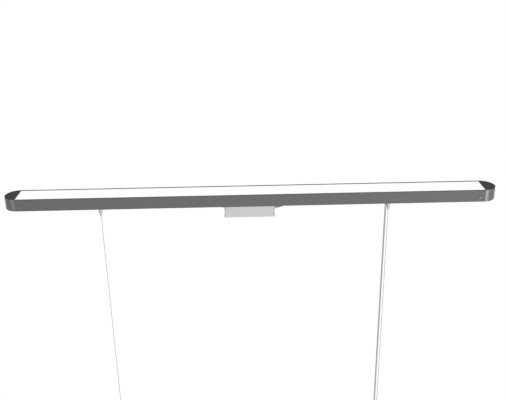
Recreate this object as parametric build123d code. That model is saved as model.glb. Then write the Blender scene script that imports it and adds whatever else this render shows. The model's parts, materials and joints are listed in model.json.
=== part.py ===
from build123d import *
import math
import os

# Suspended linear strip lamp. Millimetres, +Z up, light face down.
# Origin: middle of the four ceiling screw holes, on the ceiling plane.
# X runs along the bar, and both suspension wires hang in the plane Y = 0.

# --- bar -----------------------------------------------------------------
BAR_LENGTH = 1200.0          # tip to tip, over the half-round caps
BAR_WIDTH = 63.0
BAR_HEIGHT = 31.0
DROP = 690.0                 # ceiling plane to the back face of the bar
BAR_SHIFT = -15.0            # middle of the bar from the middle of the two wires
BACK_FILLET = 1.5
SIDE_WALL = 1.5
BACK_WALL = 2.0
LED_WEB_DEPTH = 14.0         # back face to the web that carries the LED boards
LED_WEB = 2.0

# --- rear slot -----------------------------------------------------------
SLOT_OFFSET = 9.75           # slot centre from the middle of the bar
SLOT_MOUTH = 12.5
SLOT_INNER = 20.5
SLOT_DEPTH = 8.0
SLOT_WALL = 1.6
COVER_RECESS = 4.0
COVER_THICK = 1.4
COVER_LEG = 1.6
COVER_PLAY = 0.2

# --- light cover and boards ------------------------------------------------
OPAL_RECESS = 1.5            # face of the cover below the edges of the bar
OPAL_THICK = 2.0
OPAL_LEG = 1.6
OPAL_LEG_HEIGHT = 6.0
OPAL_PLAY = 0.1
SNAP_DEPTH = 0.6
SNAP_HEIGHT = 1.2
SNAP_RISE = 4.0
BOARD_WIDTH = 34.0
BOARD_THICK = 1.6
BOARD_GAP = 3.0
BOARD_END_GAP = 8.0
CHIPS_PER_BOARD = 30
CHIP_LENGTH = 3.5
CHIP_WIDTH = 2.8
CHIP_HEIGHT = 0.8
LINK_LENGTH = 16.0
LINK_WIDTH = 8.0
LINK_HEIGHT = 3.0

# --- end caps ----------------------------------------------------------------
CAP_WALL = 2.5
CAP_PLAY = 0.15
LUG_REACH = 20.0
LUG_WIDTH = 9.0
LUG_HEIGHT = 10.0
TONGUE_REACH = 8.5
CAP_SCREW_FROM_JOINT = 12.1
CAP_SCREW_DEPTH = 10.0       # below the back face
CAP_SCREW_R = 1.5
CAP_SCREW_LENGTH = 6.0
CAP_SCREW_HEAD_R = 2.7
CAP_SCREW_HEAD = 1.3
CAP_SCREW_ROUND = 0.91
SOCKET_R = 1.1
SOCKET_DEPTH = 0.8

# --- cable grips ---------------------------------------------------------------
WIRE_SPAN = 716.0            # between the two suspension wires
WIRE_R = 0.6
NUT_LENGTH = 14.0
NUT_HEIGHT = 3.9
NUT_PLAY = 0.35
NUT_CHAMFER = 1.5
THREAD_R = 3.0
NECK_R = 3.5                 # half the width across the flats
NECK_CORNER_R = 3.78         # the corners are turned down to this
NECK_HEIGHT = 8.0
PLUG_R = 3.8
PLUG_LENGTH = 3.0
BARREL_R = 4.8
BARREL_STRAIGHT = 14.0
BARREL_NOSE = 8.0
BARREL_CHAMFER = 0.6
NOSE_TIP_R = 2.9
BARREL_BORE_R = 3.2
CONE_TOP_R = 2.0
CONE_START = 10.0            # above the bottom of the barrel
CONE_LENGTH = 10.0
TIP_BORE_R = 1.85
PLUNGER_R = 1.8
PLUNGER_BORE_R = 0.65
PLUNGER_PROUD = 4.0
PLUNGER_ROUND = 0.7
PLUNGER_FLANGE_R = 3.0
PLUNGER_FLANGE = 1.5
PLUNGER_TRAVEL = 2.0
SPRING_SHUT = 2.0            # room left for the spring with the nose pushed in
SPRING_R = 2.5
SPRING_WIRE_R = 0.2
SPRING_TURNS = 3.0
BALL_R = 1.0
BALL_COUNT = 3
BALL_HEIGHT = 14.0           # above the bottom of the barrel
BALL_PLAY = 0.05
TAIL_END = 1.0               # the trimmed wire stops this far above the slot floor

# --- ceiling fittings --------------------------------------------------------
PLATE_LENGTH = 50.0
PLATE_WIDTH = 18.0
PLATE_THICK = 3.0
PLATE_ROUND = 0.8
PLATE_HOLES = 35.0
PLATE_HOLE_R = 2.2
BOSS_R = 6.0
BOSS_LENGTH = 6.0
CUP_R = 9.0
CUP_TOTAL = 18.0
CUP_WALL = 2.0
CUP_FLOOR = 3.0
CUP_ROUND = 1.8
SEAT_R = 1.6
FLARE_R = 2.1
WIRE_BALL_R = 2.25
CRIMP_DEPTH = 0.3            # how far the wire enters its ball
SEAT_PLAY = 0.04
FEED_CUP_R = 13.0
FEED_ENTRY_R = 4.0
FEED_BORE_R = 2.8
FEED_FLARE_R = 3.4
STOP_R = 3.5
STOP_LENGTH = 2.0
SPLICE_LENGTH = 10.0
SPLICE_WIDTH = 9.0
SPLICE_HEIGHT = 4.0
SPLICE_BORE_R = 1.0

# --- driver box ----------------------------------------------------------------
DRIVER_LENGTH = 122.0
DRIVER_WIDTH = 49.5
DRIVER_HEIGHT = 30.1
DRIVER_MIDDLE = 3.0          # middle of the driver from the middle of the bar, along X
DRIVER_OFFSET = 4.25         # middle of the driver from the middle of the bar, along Y
DRIVER_STANDOFF = 2.4
DRIVER_WALL = 2.0
DRIVER_CORNER = 1.2
END_PLATE = 1.6
TOP_BANDS = ((10.5, 9.5), (35.0, 14.5))   # start and width of each sunk band, from the near side
BAND_DEPTH = 0.8
BAND_EASE = 0.35
SIDE_STEP = 2.0              # height of the set-back strip along the foot of each side
SIDE_STEP_DEPTH = 0.6
PLATE_SCREW_R = 1.25
PLATE_SCREW_HEAD_R = 2.3
PLATE_SCREW_HEAD = 1.1
PLATE_SCREW_ROUND = 0.66
PLATE_SCREW_LENGTH = 6.0
PLATE_SCREW_INSET = 4.0
PLATE_SCREW_LOW = 6.8         # lower screws, above the underside of the case
PORT_WALL = 1.1
PCB_THICK = 1.6
PCB_RISE = 6.0
PCB_PLAY = 0.3
CORE_X = 4.0                 # from the middle of the driver
CORE_LENGTH = 22.0
CORE_WIDTH = 18.0
CORE_HEIGHT = 15.0
CORE_LIMB = 3.5
CORE_YOKE = 3.0
WINDING_WIDTH = 24.0
WINDING_ROUND = 2.0
CAPACITORS = ((27.0, -10.0, 5.0), (27.0, 6.0, 5.0))   # X from the output end, Y and radius
CAPACITOR_HEIGHT = 14.0
CHOKE_FROM_END = 27.0
CHOKE_Y = -6.0
CHOKE_R = 7.0
CHOKE_WINDING_R = 3.5
FOOT_INSET = 2.0
FOOT_LENGTH = 18.0
FOOT_WIDTH = 40.0
FOOT_CHAMFER = 2.0
FOOT_SCREW_HEAD_R = 3.6
FOOT_SCREW_HEAD = 2.2
FOOT_SCREW_R = 2.0
FOOT_NUT_LENGTH = 12.0
FOOT_NUT_HEIGHT = 3.0
OUTPUT_TERMINAL_DEPTH = 7.0
OUTPUT_TERMINAL_WIDTH = 40.0
OUTPUT_TERMINAL_HEIGHT = 5.6
OUTPUT_POLES = 3
OUTPUT_ENTRY_R = 1.3
OUTPUT_ENTRY_DEPTH = 3.0
LEAD_ENTRY_PLAY = 0.25
LEVERS = ((2.5, 4.0), (12.0, 8.0))   # start and width, from the near end of the terminal
LEVER_REACH = 2.6
LEVER_DROP = 0.6             # below the top of the terminal
LEVER_HEIGHT = 3.8
LEVER_ROUND = 0.8
CONTROL_TERMINAL_DEPTH = 10.0
CONTROL_TERMINAL_WIDTH = 24.5
CONTROL_TERMINAL_HEIGHT = 5.2
CONTROL_POLES = 2
CONTROL_RIB = 5.4
CONTROL_BACK = 2.5           # solid part against the end plate
CONTROL_FLOOR = 1.6
TERMINAL_NEAR = 21.5         # near ends of both terminals, from the middle of the driver
TERMINAL_RISE = 0.6
TERMINAL_CHAMFER = 0.5
BUSHING_R = 3.2
BUSHING_LENGTH = 4.0
BUSHING_FLANGE_R = 4.0
BUSHING_TIP = 0.7            # wall of the bushing where the cable leaves it
BUSHING_HEIGHT = 17.5        # above the back face of the bar

# --- cables ----------------------------------------------------------------------
CABLE_R = 2.1
CABLE_FROM_WIRE = 7.0
OUTPUT_WIRE_R = 2.05
LEAD_R = 2.05
CORD_PLAY = 0.05
CLIP_COUNT = 3
CLIP_FROM_DRIVER = 60.0
CLIP_FROM_WIRE = 37.0
CLIP_LENGTH = 7.0
CLIP_PRONG = 1.3
CLIP_BASE = 2.0
CLIP_HOLD = 0.4              # share of the cable's radius that the prongs reach past its axis
GROMMET_PLACE = 363.5        # from the middle of the bar
RED_HOLE_Y = -2.2
BLACK_HOLE_Y = 2.2
GROMMET_LENGTH = 7.4
GROMMET_WIDTH = 11.4
GROMMET_FLANGE = 0.8
GROMMET_LIP = 1.2            # flange past the passage, all round
PLUG_BODY = 19.0
SOCKET_BODY = 17.5
CONNECTOR_WIDTH = 8.6
CONNECTOR_HEIGHT = 6.0
# Route points: X and Y from the middle of the bar, and height above its back face.
CABLE_ROUTE = ((-56.0, 4.25, 17.5), (-80.0, 4.25, 17.5), (-88.0, 9.75, 0.2), (-327.0, 9.75, 0.2),
               (-336.0, 9.75, 9.2))
RED_ROUTE = ((363.5, 7.55, -13.9), (363.5, 7.55, -2.2), (350.5, 9.6, 2.6), (331.0, 14.5, 2.1),
             (203.5, 14.5, 2.1))
BLACK_ROUTE = ((363.5, 11.95, -13.9), (363.5, 11.95, -2.2), (350.5, 14.0, 2.9), (331.0, 18.95, 2.1),
               (203.5, 18.95, 2.1))
LEAD_ROUTE = ((166.8, 17.2, 3.0), (140.0, 17.9, 2.3), (105.0, 16.9, 2.2), (69.1, 14.6, 3.4))
ARC_SHARE = 0.45             # of the shorter run beside a bend, taken up by its arc
CONNECTOR_START = 203.5      # outer end of the plug, from the middle of the bar
CONNECTOR_Y = 17.0
CONNECTOR_CLEAR = 0.05       # above the back of the bar
CONNECTOR_ROUND = 1.0
LATCH_SHARE = 0.45           # of the plug's length
LATCH_WIDTH = 3.2
LATCH_HEIGHT = 0.9

# --- places worked out from the sizes ----------------------------------------------
BACK_Z = -DROP
FACE_Z = BACK_Z - BAR_HEIGHT
BAR_Y = -SLOT_OFFSET
END_R = BAR_WIDTH / 2
PROFILE_LENGTH = BAR_LENGTH - BAR_WIDTH
PROFILE_HALF = PROFILE_LENGTH / 2
SLOT_FLOOR_Z = BACK_Z - SLOT_DEPTH
LED_WEB_Z = BACK_Z - LED_WEB_DEPTH
BOARD_Z = LED_WEB_Z - LED_WEB
INSIDE_WIDTH = BAR_WIDTH - 2 * SIDE_WALL
WIRE_X = WIRE_SPAN / 2
NECK_TOP = BACK_Z + NECK_HEIGHT
BARREL_TOP = NECK_TOP + BARREL_STRAIGHT + BARREL_NOSE
SPRING_ROOM = SPRING_SHUT + PLUNGER_TRAVEL
PLUNGER_BOTTOM = NECK_TOP + PLUG_LENGTH + SPRING_ROOM
BALL_Z = NECK_TOP + BALL_HEIGHT
CUP_FLOOR_Z = -PLATE_THICK - CUP_TOTAL + CUP_FLOOR
SWING_Z = CUP_FLOOR_Z + math.sqrt((WIRE_BALL_R + SEAT_PLAY) ** 2 - SEAT_R ** 2)
DRIVER_X = BAR_SHIFT + DRIVER_MIDDLE
DRIVER_Y = BAR_Y + DRIVER_OFFSET
DRIVER_Z = BACK_Z + DRIVER_STANDOFF
DRIVER_END = DRIVER_LENGTH / 2
BUSHING_Z = BACK_Z + BUSHING_HEIGHT
CABLE_X = -WIRE_X + CABLE_FROM_WIRE
GROMMET_X = BAR_SHIFT + GROMMET_PLACE


def block(x0, x1, y0, y1, z0, z1):
    """Rectangular block between two corners."""
    size = (x1 - x0, y1 - y0, z1 - z0)
    return Pos((x0 + x1) / 2, (y0 + y1) / 2, (z0 + z1) / 2) * Box(*size)


def rod(x, y, z0, z1, radius):
    """Upright cylinder."""
    return Pos(x, y, (z0 + z1) / 2) * Cylinder(radius, z1 - z0)


def rod_x(x0, x1, y, z, radius):
    """Cylinder along X."""
    return Pos((x0 + x1) / 2, y, z) * Rot(0, 90, 0) * Cylinder(radius, x1 - x0)


def rod_y(x, y0, y1, z, radius):
    """Cylinder along Y."""
    return Pos(x, (y0 + y1) / 2, z) * Rot(90, 0, 0) * Cylinder(radius, y1 - y0)


def taper(x, y, z0, z1, r0, r1):
    """Upright cone, radius r0 at z0 and r1 at z1."""
    return Pos(x, y, (z0 + z1) / 2) * Cone(r0, r1, z1 - z0)


def one(shape):
    """The solid of a result that holds a single solid."""
    return shape.solids()[0]


def save(name, *shapes):
    """Write one node, a single solid or a group of separate solids."""
    solids = [solid for shape in shapes for solid in shape.solids()]
    node = solids[0] if len(solids) == 1 else Compound(children=solids)
    node.label = name
    export_step(node, f"parts/{name}.step")


def tube(points, radius):
    """Round cord along straight runs joined by tangent arcs."""
    radii = arc_radii(points)
    path = FilletPolyline(*points, radius=radii)
    start = Plane(origin=path @ 0, z_dir=path % 0)
    solid = one(sweep(start * Circle(radius), path))
    expected = math.pi * radius ** 2 * path.length
    print("cord", "length", round(path.length, 1), "radii", [round(r, 1) for r in radii],
          "volume ratio", round(solid.volume / expected, 4))
    return solid


def arc_radii(points):
    """Arc radius at each corner: a share of the shorter run over the tangent of half the turn."""
    radii = []
    for before, corner, after in zip(points, points[1:], points[2:]):
        run_in = Vector(*corner) - Vector(*before)
        run_out = Vector(*after) - Vector(*corner)
        half_turn = math.radians(run_in.get_angle(run_out)) / 2
        radii.append(ARC_SHARE * min(run_in.length, run_out.length) / math.tan(half_turn))
    return radii


# --- bar -----------------------------------------------------------------------------
def along_bar(outline, length, start):
    """Extrude a section drawn in Y and Z along X from start."""
    section = Plane(origin=(start, 0, 0), x_dir=(0, 1, 0), z_dir=(1, 0, 0)) * outline
    return extrude(section, length)


def section_box(y0, y1, z0, z1):
    """Rectangle of a section, in Y and Z."""
    return Pos((y0 + y1) / 2, (z0 + z1) / 2) * Rectangle(y1 - y0, z1 - z0)


def profile_section():
    """Extruded section: T-slot in the back, LED web across, open light chamber below."""
    half = BAR_WIDTH / 2
    outer = section_box(BAR_Y - half, BAR_Y + half, FACE_Z, BACK_Z)
    outer = fillet(outer.vertices().sort_by(Axis.Y)[-2:], BACK_FILLET)
    inner = half - SIDE_WALL
    upper = section_box(BAR_Y - inner, BAR_Y + inner, LED_WEB_Z, BACK_Z - BACK_WALL)
    channel_half = SLOT_INNER / 2 + SLOT_WALL
    channel = section_box(-channel_half, channel_half, SLOT_FLOOR_Z - SLOT_WALL, BACK_Z - BACK_WALL)
    cavity = section_box(-SLOT_INNER / 2, SLOT_INNER / 2, SLOT_FLOOR_Z, BACK_Z - BACK_WALL)
    mouth = section_box(-SLOT_MOUTH / 2, SLOT_MOUTH / 2, SLOT_FLOOR_Z, BACK_Z)
    lower = section_box(BAR_Y - inner, BAR_Y + inner, FACE_Z, BOARD_Z)
    section = outer - (upper - channel) - cavity - mouth - lower
    snap_z = FACE_Z + SNAP_RISE
    for side in (-1, 1):
        edge = BAR_Y + side * inner
        inward = edge - side * SNAP_DEPTH
        section += section_box(min(edge, inward), max(edge, inward), snap_z, snap_z + SNAP_HEIGHT)
    return section


def body_profile():
    """Bar extrusion with the cap screw holes and the wire hole through slot floor and web."""
    body = along_bar(profile_section(), PROFILE_LENGTH, BAR_SHIFT - PROFILE_HALF)
    for x in cap_screw_places():
        body -= rod_y(x, BAR_Y - END_R - 1, BAR_Y - END_R + SIDE_WALL + 1, BACK_Z - CAP_SCREW_DEPTH,
                      CAP_SCREW_R + CAP_PLAY)
        body -= rod_y(x, BAR_Y + END_R - SIDE_WALL - 1, BAR_Y + END_R + 1, BACK_Z - CAP_SCREW_DEPTH,
                      CAP_SCREW_R + CAP_PLAY)
    hole = extrude(Pos(GROMMET_X, 0, BOARD_Z - 1) * grommet_outline(0), DROP)
    hole &= block(GROMMET_X - GROMMET_WIDTH, GROMMET_X + GROMMET_WIDTH, -SLOT_INNER, SLOT_INNER,
                  BOARD_Z - 1, SLOT_FLOOR_Z)
    return one(body - hole)


def grommet_outline(margin):
    """Oval wire passage, long across the bar."""
    height = GROMMET_LENGTH + 2 * margin
    return Rot(0, 0, 90) * SlotOverall(GROMMET_WIDTH + 2 * margin, height)


def cap_screw_places():
    reach = PROFILE_HALF - CAP_SCREW_FROM_JOINT
    return (BAR_SHIFT - reach, BAR_SHIFT + reach)


def end_cap(side):
    """Half-round cap: open shell, two screw lugs inside the bar and a tongue closing the slot."""
    joint = PROFILE_HALF
    disc = Pos(joint, 0, -BAR_HEIGHT) * extrude(Circle(END_R), BAR_HEIGHT)
    half = disc & block(joint, joint + END_R, -END_R, END_R, -BAR_HEIGHT, 0)
    back_edge = half.edges().filter_by(GeomType.CIRCLE).sort_by(Axis.Z)[-1]
    half = fillet(back_edge, BACK_FILLET)
    pocket = Pos(joint, 0, CAP_WALL - BAR_HEIGHT) * extrude(
        Circle(END_R - CAP_WALL), BAR_HEIGHT - 2 * CAP_WALL)
    shell = half - pocket
    inner = END_R - SIDE_WALL - CAP_PLAY
    top = -BACK_WALL - CAP_PLAY
    lugs = []
    for edge in (-1, 1):
        outer = edge * inner
        middle = outer - edge * LUG_WIDTH
        if edge > 0:
            slot_side = SLOT_OFFSET + SLOT_INNER / 2 + SLOT_WALL + CAP_PLAY
            middle = max(middle, slot_side)
        lug = block(joint - LUG_REACH, joint, min(outer, middle), max(outer, middle),
                    top - LUG_HEIGHT, top)
        rib = block(joint, joint + END_R, min(outer, middle), max(outer, middle),
                    top - LUG_HEIGHT, top)
        lugs.append(lug + (rib & half))
    cap = shell + lugs[0] + lugs[1]
    mouth = SLOT_MOUTH / 2 - CAP_PLAY
    cap += block(joint - TONGUE_REACH, joint + CAP_WALL, SLOT_OFFSET - mouth, SLOT_OFFSET + mouth,
                 -BACK_WALL, 0)
    screw_x = joint - CAP_SCREW_FROM_JOINT
    for edge in (-1, 1):
        outer = edge * inner
        depth = outer - edge * CAP_SCREW_LENGTH
        cap -= rod_y(screw_x, min(outer, depth), max(outer, depth), -CAP_SCREW_DEPTH, CAP_SCREW_R)
    cap = Pos(0, BAR_Y, BACK_Z) * one(cap)
    if side < 0:
        cap = mirror(cap, Plane.YZ)
    return Pos(BAR_SHIFT, 0, 0) * cap


def cap_screws():
    """Button-head screws through the side walls into the cap lugs."""
    screws = []
    z = BACK_Z - CAP_SCREW_DEPTH
    for x in cap_screw_places():
        for edge in (-1, 1):
            face = BAR_Y + edge * END_R
            tip = BAR_Y + edge * (END_R - SIDE_WALL - CAP_PLAY - CAP_SCREW_LENGTH)
            crown = face + edge * CAP_SCREW_HEAD
            shank = rod_y(x, min(tip, face), max(tip, face), z, CAP_SCREW_R)
            head = rod_y(x, min(face, crown), max(face, crown), z, CAP_SCREW_HEAD_R)
            rim = head.edges().filter_by(GeomType.CIRCLE).sort_by(Axis.Y)[-1 if edge > 0 else 0]
            head = fillet(rim, CAP_SCREW_ROUND)
            bottom = crown - edge * SOCKET_DEPTH
            socket = Pos(x, min(bottom, crown), z) * Rot(-90, 0, 0) * extrude(
                RegularPolygon(SOCKET_R, 6), SOCKET_DEPTH + 0.1)
            screws.append(one(shank + head - socket))
    return screws


def opal_diffuser():
    """Snap-in light cover, set back a little: flat face with two grooved legs."""
    half = INSIDE_WIDTH / 2 - OPAL_PLAY
    face = FACE_Z + OPAL_RECESS
    section = section_box(BAR_Y - half, BAR_Y + half, face, face + OPAL_THICK)
    snap_z = FACE_Z + SNAP_RISE
    for side in (-1, 1):
        edge = BAR_Y + side * half
        inner = edge - side * OPAL_LEG
        section += section_box(min(edge, inner), max(edge, inner), face, face + OPAL_LEG_HEIGHT)
        floor = edge - side * SNAP_DEPTH
        section -= section_box(min(edge, floor), max(edge, floor), snap_z - OPAL_PLAY,
                               snap_z + SNAP_HEIGHT + OPAL_PLAY)
    length = PROFILE_LENGTH - 2 * OPAL_PLAY
    return one(along_bar(section, length, BAR_SHIFT - length / 2))


def board_span(side):
    """Ends of one LED board along X, from the middle of the bar."""
    outer = PROFILE_HALF - BOARD_END_GAP
    inner = BOARD_GAP / 2
    return (inner, outer) if side > 0 else (-outer, -inner)


def led_board(side):
    x0, x1 = board_span(side)
    return block(BAR_SHIFT + x0, BAR_SHIFT + x1, BAR_Y - BOARD_WIDTH / 2, BAR_Y + BOARD_WIDTH / 2,
                 BOARD_Z - BOARD_THICK, BOARD_Z)


def chip_places(side):
    x0, x1 = board_span(side)
    pitch = (x1 - x0) / CHIPS_PER_BOARD
    return [BAR_SHIFT + x0 + pitch * (number + 0.5) for number in range(CHIPS_PER_BOARD)]


def led_chips():
    chips = []
    top = BOARD_Z - BOARD_THICK
    for side in (-1, 1):
        for x in chip_places(side):
            chips.append(block(x - CHIP_LENGTH / 2, x + CHIP_LENGTH / 2, BAR_Y - CHIP_WIDTH / 2,
                               BAR_Y + CHIP_WIDTH / 2, top - CHIP_HEIGHT, top))
    return chips


def board_link():
    """Bridge connector over the joint of the two boards."""
    top = BOARD_Z - BOARD_THICK
    y = BAR_Y + BOARD_WIDTH / 2 - LINK_WIDTH
    return block(BAR_SHIFT - LINK_LENGTH / 2, BAR_SHIFT + LINK_LENGTH / 2, y - LINK_WIDTH / 2,
                 y + LINK_WIDTH / 2, top - LINK_HEIGHT, top)


def slot_cover(side):
    """Recessed channel strip that closes the slot from the grip to the cap's tongue."""
    inner = WIRE_X + NUT_LENGTH / 2 + COVER_PLAY
    if side > 0:
        x0, x1 = inner, BAR_SHIFT + PROFILE_HALF
    else:
        x0, x1 = BAR_SHIFT - PROFILE_HALF, -inner
    half = SLOT_INNER / 2 - COVER_PLAY
    top = BACK_Z - COVER_RECESS
    section = section_box(-half, half, top - COVER_THICK, top)
    for edge in (-1, 1):
        outer = edge * half
        leg = outer - edge * COVER_LEG
        section += section_box(min(outer, leg), max(outer, leg), SLOT_FLOOR_Z, top)
    return one(along_bar(section, x1 - x0 - COVER_PLAY, x0 + (COVER_PLAY if side < 0 else 0)))


# --- cable grips -------------------------------------------------------------------
def slot_nut(x):
    """Square nut, jacked up under the slot lips by the stud."""
    half = SLOT_INNER / 2 - NUT_PLAY
    top = BACK_Z - BACK_WALL
    nut = block(x - NUT_LENGTH / 2, x + NUT_LENGTH / 2, -half, half, top - NUT_HEIGHT, top)
    nut = chamfer(nut.edges().filter_by(Axis.Z), NUT_CHAMFER)
    return one(nut - rod(x, 0, top - NUT_HEIGHT - 1, top + 1, THREAD_R))


def grip_stud(x):
    """Threaded stud standing on the slot floor, with a hexagon neck and a plug for the barrel."""
    thread = rod(x, 0, SLOT_FLOOR_Z, BACK_Z - BACK_WALL, THREAD_R)
    neck = Pos(x, 0, BACK_Z - BACK_WALL) * extrude(RegularPolygon(NECK_R, 6, major_radius=False),
                                                   NECK_HEIGHT + BACK_WALL)
    neck &= rod(x, 0, BACK_Z - BACK_WALL, NECK_TOP, NECK_CORNER_R)
    plug = rod(x, 0, NECK_TOP, NECK_TOP + PLUG_LENGTH, PLUG_R)
    bore = rod(x, 0, SLOT_FLOOR_Z + TAIL_END, NECK_TOP + PLUG_LENGTH + 1, PLUNGER_BORE_R)
    return one(thread + neck + plug - bore)


def grip_barrel(x):
    """Turned barrel: conical nose outside, ball cone narrowing upwards inside."""
    shoulder = NECK_TOP + BARREL_STRAIGHT
    outline = rod(x, 0, NECK_TOP, shoulder, BARREL_R)
    foot = outline.edges().filter_by(GeomType.CIRCLE).sort_by(Axis.Z)[0]
    outline = chamfer(foot, BARREL_CHAMFER)
    outline += taper(x, 0, shoulder, BARREL_TOP, BARREL_R, NOSE_TIP_R)
    cone_start = NECK_TOP + CONE_START
    cone_top = cone_start + CONE_LENGTH
    cavity = rod(x, 0, NECK_TOP - 1, NECK_TOP + PLUG_LENGTH, PLUG_R)
    cavity += rod(x, 0, NECK_TOP + PLUG_LENGTH, cone_start, BARREL_BORE_R)
    cavity += taper(x, 0, cone_start, cone_top, BARREL_BORE_R, CONE_TOP_R)
    cavity += rod(x, 0, cone_top, BARREL_TOP + 1, TIP_BORE_R)
    return one(outline - cavity)


def ball_places(x):
    """Centres of the clamping balls, each touching the wire."""
    reach = WIRE_R + BALL_R + BALL_PLAY
    places = []
    for number in range(BALL_COUNT):
        angle = 2 * math.pi * number / BALL_COUNT
        places.append((x + reach * math.cos(angle), reach * math.sin(angle), BALL_Z))
    return places


def grip_plunger(x):
    """Release nose and ball cage in one, with the spring flange at its lower end."""
    top = BARREL_TOP + PLUNGER_PROUD
    body = rod(x, 0, PLUNGER_BOTTOM, top, PLUNGER_R)
    rim = body.edges().filter_by(GeomType.CIRCLE).sort_by(Axis.Z)[-1]
    body = fillet(rim, PLUNGER_ROUND)
    body += rod(x, 0, PLUNGER_BOTTOM, PLUNGER_BOTTOM + PLUNGER_FLANGE, PLUNGER_FLANGE_R)
    body -= rod(x, 0, PLUNGER_BOTTOM - 1, top + 1, PLUNGER_BORE_R + CORD_PLAY)
    for place in ball_places(x):
        body -= Pos(*place) * Sphere(BALL_R + BALL_PLAY)
    return one(body)


def grip_balls(x):
    return [Pos(*place) * Sphere(BALL_R) for place in ball_places(x)]


def grip_spring(x):
    """Coil spring between the stud's plug and the plunger's flange."""
    bottom = NECK_TOP + PLUG_LENGTH + SPRING_WIRE_R
    height = SPRING_ROOM - 2 * SPRING_WIRE_R
    path = Pos(x, 0, bottom) * Helix(pitch=height / SPRING_TURNS, height=height, radius=SPRING_R)
    start = Plane(origin=path @ 0, z_dir=path % 0)
    return one(sweep(start * Circle(SPRING_WIRE_R), path))


def suspension_wire(x):
    """Steel wire from inside the stud, through the grip, to its ball in the ceiling cup."""
    return rod(x, 0, SLOT_FLOOR_Z + TAIL_END + CORD_PLAY, SWING_Z - WIRE_BALL_R, WIRE_R)


def wire_ball(x):
    """Ball crimped on the upper end of the wire."""
    return Pos(x, 0, SWING_Z) * Sphere(WIRE_BALL_R) - rod(
        x, 0, SWING_Z - WIRE_BALL_R - 1, SWING_Z - WIRE_BALL_R + CRIMP_DEPTH, WIRE_R)


# --- ceiling fittings --------------------------------------------------------------
def ceiling_plate(x, entry_r):
    """Oval plate with two screw holes and a threaded boss for the cup."""
    outline = Pos(x, 0, -PLATE_THICK) * extrude(Rot(0, 0, 90) * SlotOverall(PLATE_LENGTH, PLATE_WIDTH),
                                                PLATE_THICK)
    low_edge = outline.edges().group_by(Axis.Z)[0]
    plate = fillet(low_edge, PLATE_ROUND)
    for side in (-1, 1):
        plate -= rod(x, side * PLATE_HOLES / 2, -PLATE_THICK - 1, 1, PLATE_HOLE_R)
    plate += rod(x, 0, -PLATE_THICK - BOSS_LENGTH, -PLATE_THICK, BOSS_R)
    if entry_r:
        plate -= rod(x, 0, -PLATE_THICK - BOSS_LENGTH - 1, 1, entry_r)
    return one(plate)


def cup_blank(x, radius):
    """Cup screwed over the boss, with a rounded lower rim."""
    bottom = CUP_FLOOR_Z - CUP_FLOOR
    cup = rod(x, 0, bottom, -PLATE_THICK, radius)
    rim = cup.edges().filter_by(GeomType.CIRCLE).sort_by(Axis.Z)[0]
    cup = fillet(rim, CUP_ROUND)
    cup -= rod(x, 0, -PLATE_THICK - BOSS_LENGTH, -PLATE_THICK + 1, BOSS_R)
    cup -= rod(x, 0, CUP_FLOOR_Z, -PLATE_THICK - BOSS_LENGTH, radius - CUP_WALL)
    return cup


def flared_hole(x, bore_r, flare_r):
    """Hole through the cup floor, opening downwards so that what hangs in it can swing."""
    bottom = CUP_FLOOR_Z - CUP_FLOOR
    hole = taper(x, 0, bottom, CUP_FLOOR_Z, flare_r, bore_r)
    hole += rod(x, 0, CUP_FLOOR_Z, CUP_FLOOR_Z + 0.5, bore_r)
    return hole + rod(x, 0, bottom - 0.5, bottom, flare_r)


def ceiling_cup():
    cup = cup_blank(WIRE_X, CUP_R)
    return one(cup - flared_hole(WIRE_X, SEAT_R, FLARE_R))


def feed_cup():
    """Wider cup with the wire's seat and a flared mouth for the supply cable."""
    middle = -WIRE_X
    cup = cup_blank(middle, FEED_CUP_R)
    cup -= flared_hole(middle, SEAT_R, FLARE_R)
    return one(cup - flared_hole(CABLE_X, FEED_BORE_R, FEED_FLARE_R))


def cable_stop():
    """Ring clamped on the cable inside the feed cup."""
    stop = rod(CABLE_X, 0, SWING_Z, SWING_Z + STOP_LENGTH, STOP_R)
    return one(stop - rod(CABLE_X, 0, SWING_Z - 1, SWING_Z + STOP_LENGTH + 1, CABLE_R + CORD_PLAY))


def splice_terminal():
    """Two-pole terminal under the feed plate, where the building's cable comes in."""
    top = -PLATE_THICK - BOSS_LENGTH
    body = block(-WIRE_X - SPLICE_LENGTH / 2, -WIRE_X + SPLICE_LENGTH / 2, -SPLICE_WIDTH / 2,
                 SPLICE_WIDTH / 2, top - SPLICE_HEIGHT, top)
    for side in (-1, 1):
        body -= rod_x(-WIRE_X - SPLICE_LENGTH, -WIRE_X + SPLICE_LENGTH, side * SPLICE_WIDTH / 4,
                      top - SPLICE_HEIGHT / 2, SPLICE_BORE_R)
    return one(body)


# --- driver box --------------------------------------------------------------------
def driver_section():
    """Tube section of the driver case in Y and Z, with sunk bands along its top."""
    half = DRIVER_WIDTH / 2
    top = DRIVER_Z + DRIVER_HEIGHT
    outer = section_box(DRIVER_Y - half, DRIVER_Y + half, DRIVER_Z, top)
    outer = fillet(outer.vertices(), DRIVER_CORNER)
    section = outer - section_box(DRIVER_Y - half + DRIVER_WALL, DRIVER_Y + half - DRIVER_WALL,
                                  DRIVER_Z + DRIVER_WALL, top - DRIVER_WALL)
    for start, width in TOP_BANDS:
        y = DRIVER_Y - half + start
        sunk = section_box(y, y + width, top - BAND_DEPTH, top + 1)
        low_corners = sunk.vertices().group_by(Axis.Y)[0]
        section -= fillet(low_corners.sort_by(Axis.X), BAND_EASE)
    for edge in (-1, 1):
        face = DRIVER_Y + edge * half
        floor = face - edge * SIDE_STEP_DEPTH
        section -= section_box(min(face, floor), max(face, floor), DRIVER_Z, DRIVER_Z + SIDE_STEP)
    for y, z in plate_screw_places():
        section += Pos(y, z) * Circle(PLATE_SCREW_R + PORT_WALL)
        section -= Pos(y, z) * Circle(PLATE_SCREW_R)
    return section


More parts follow.
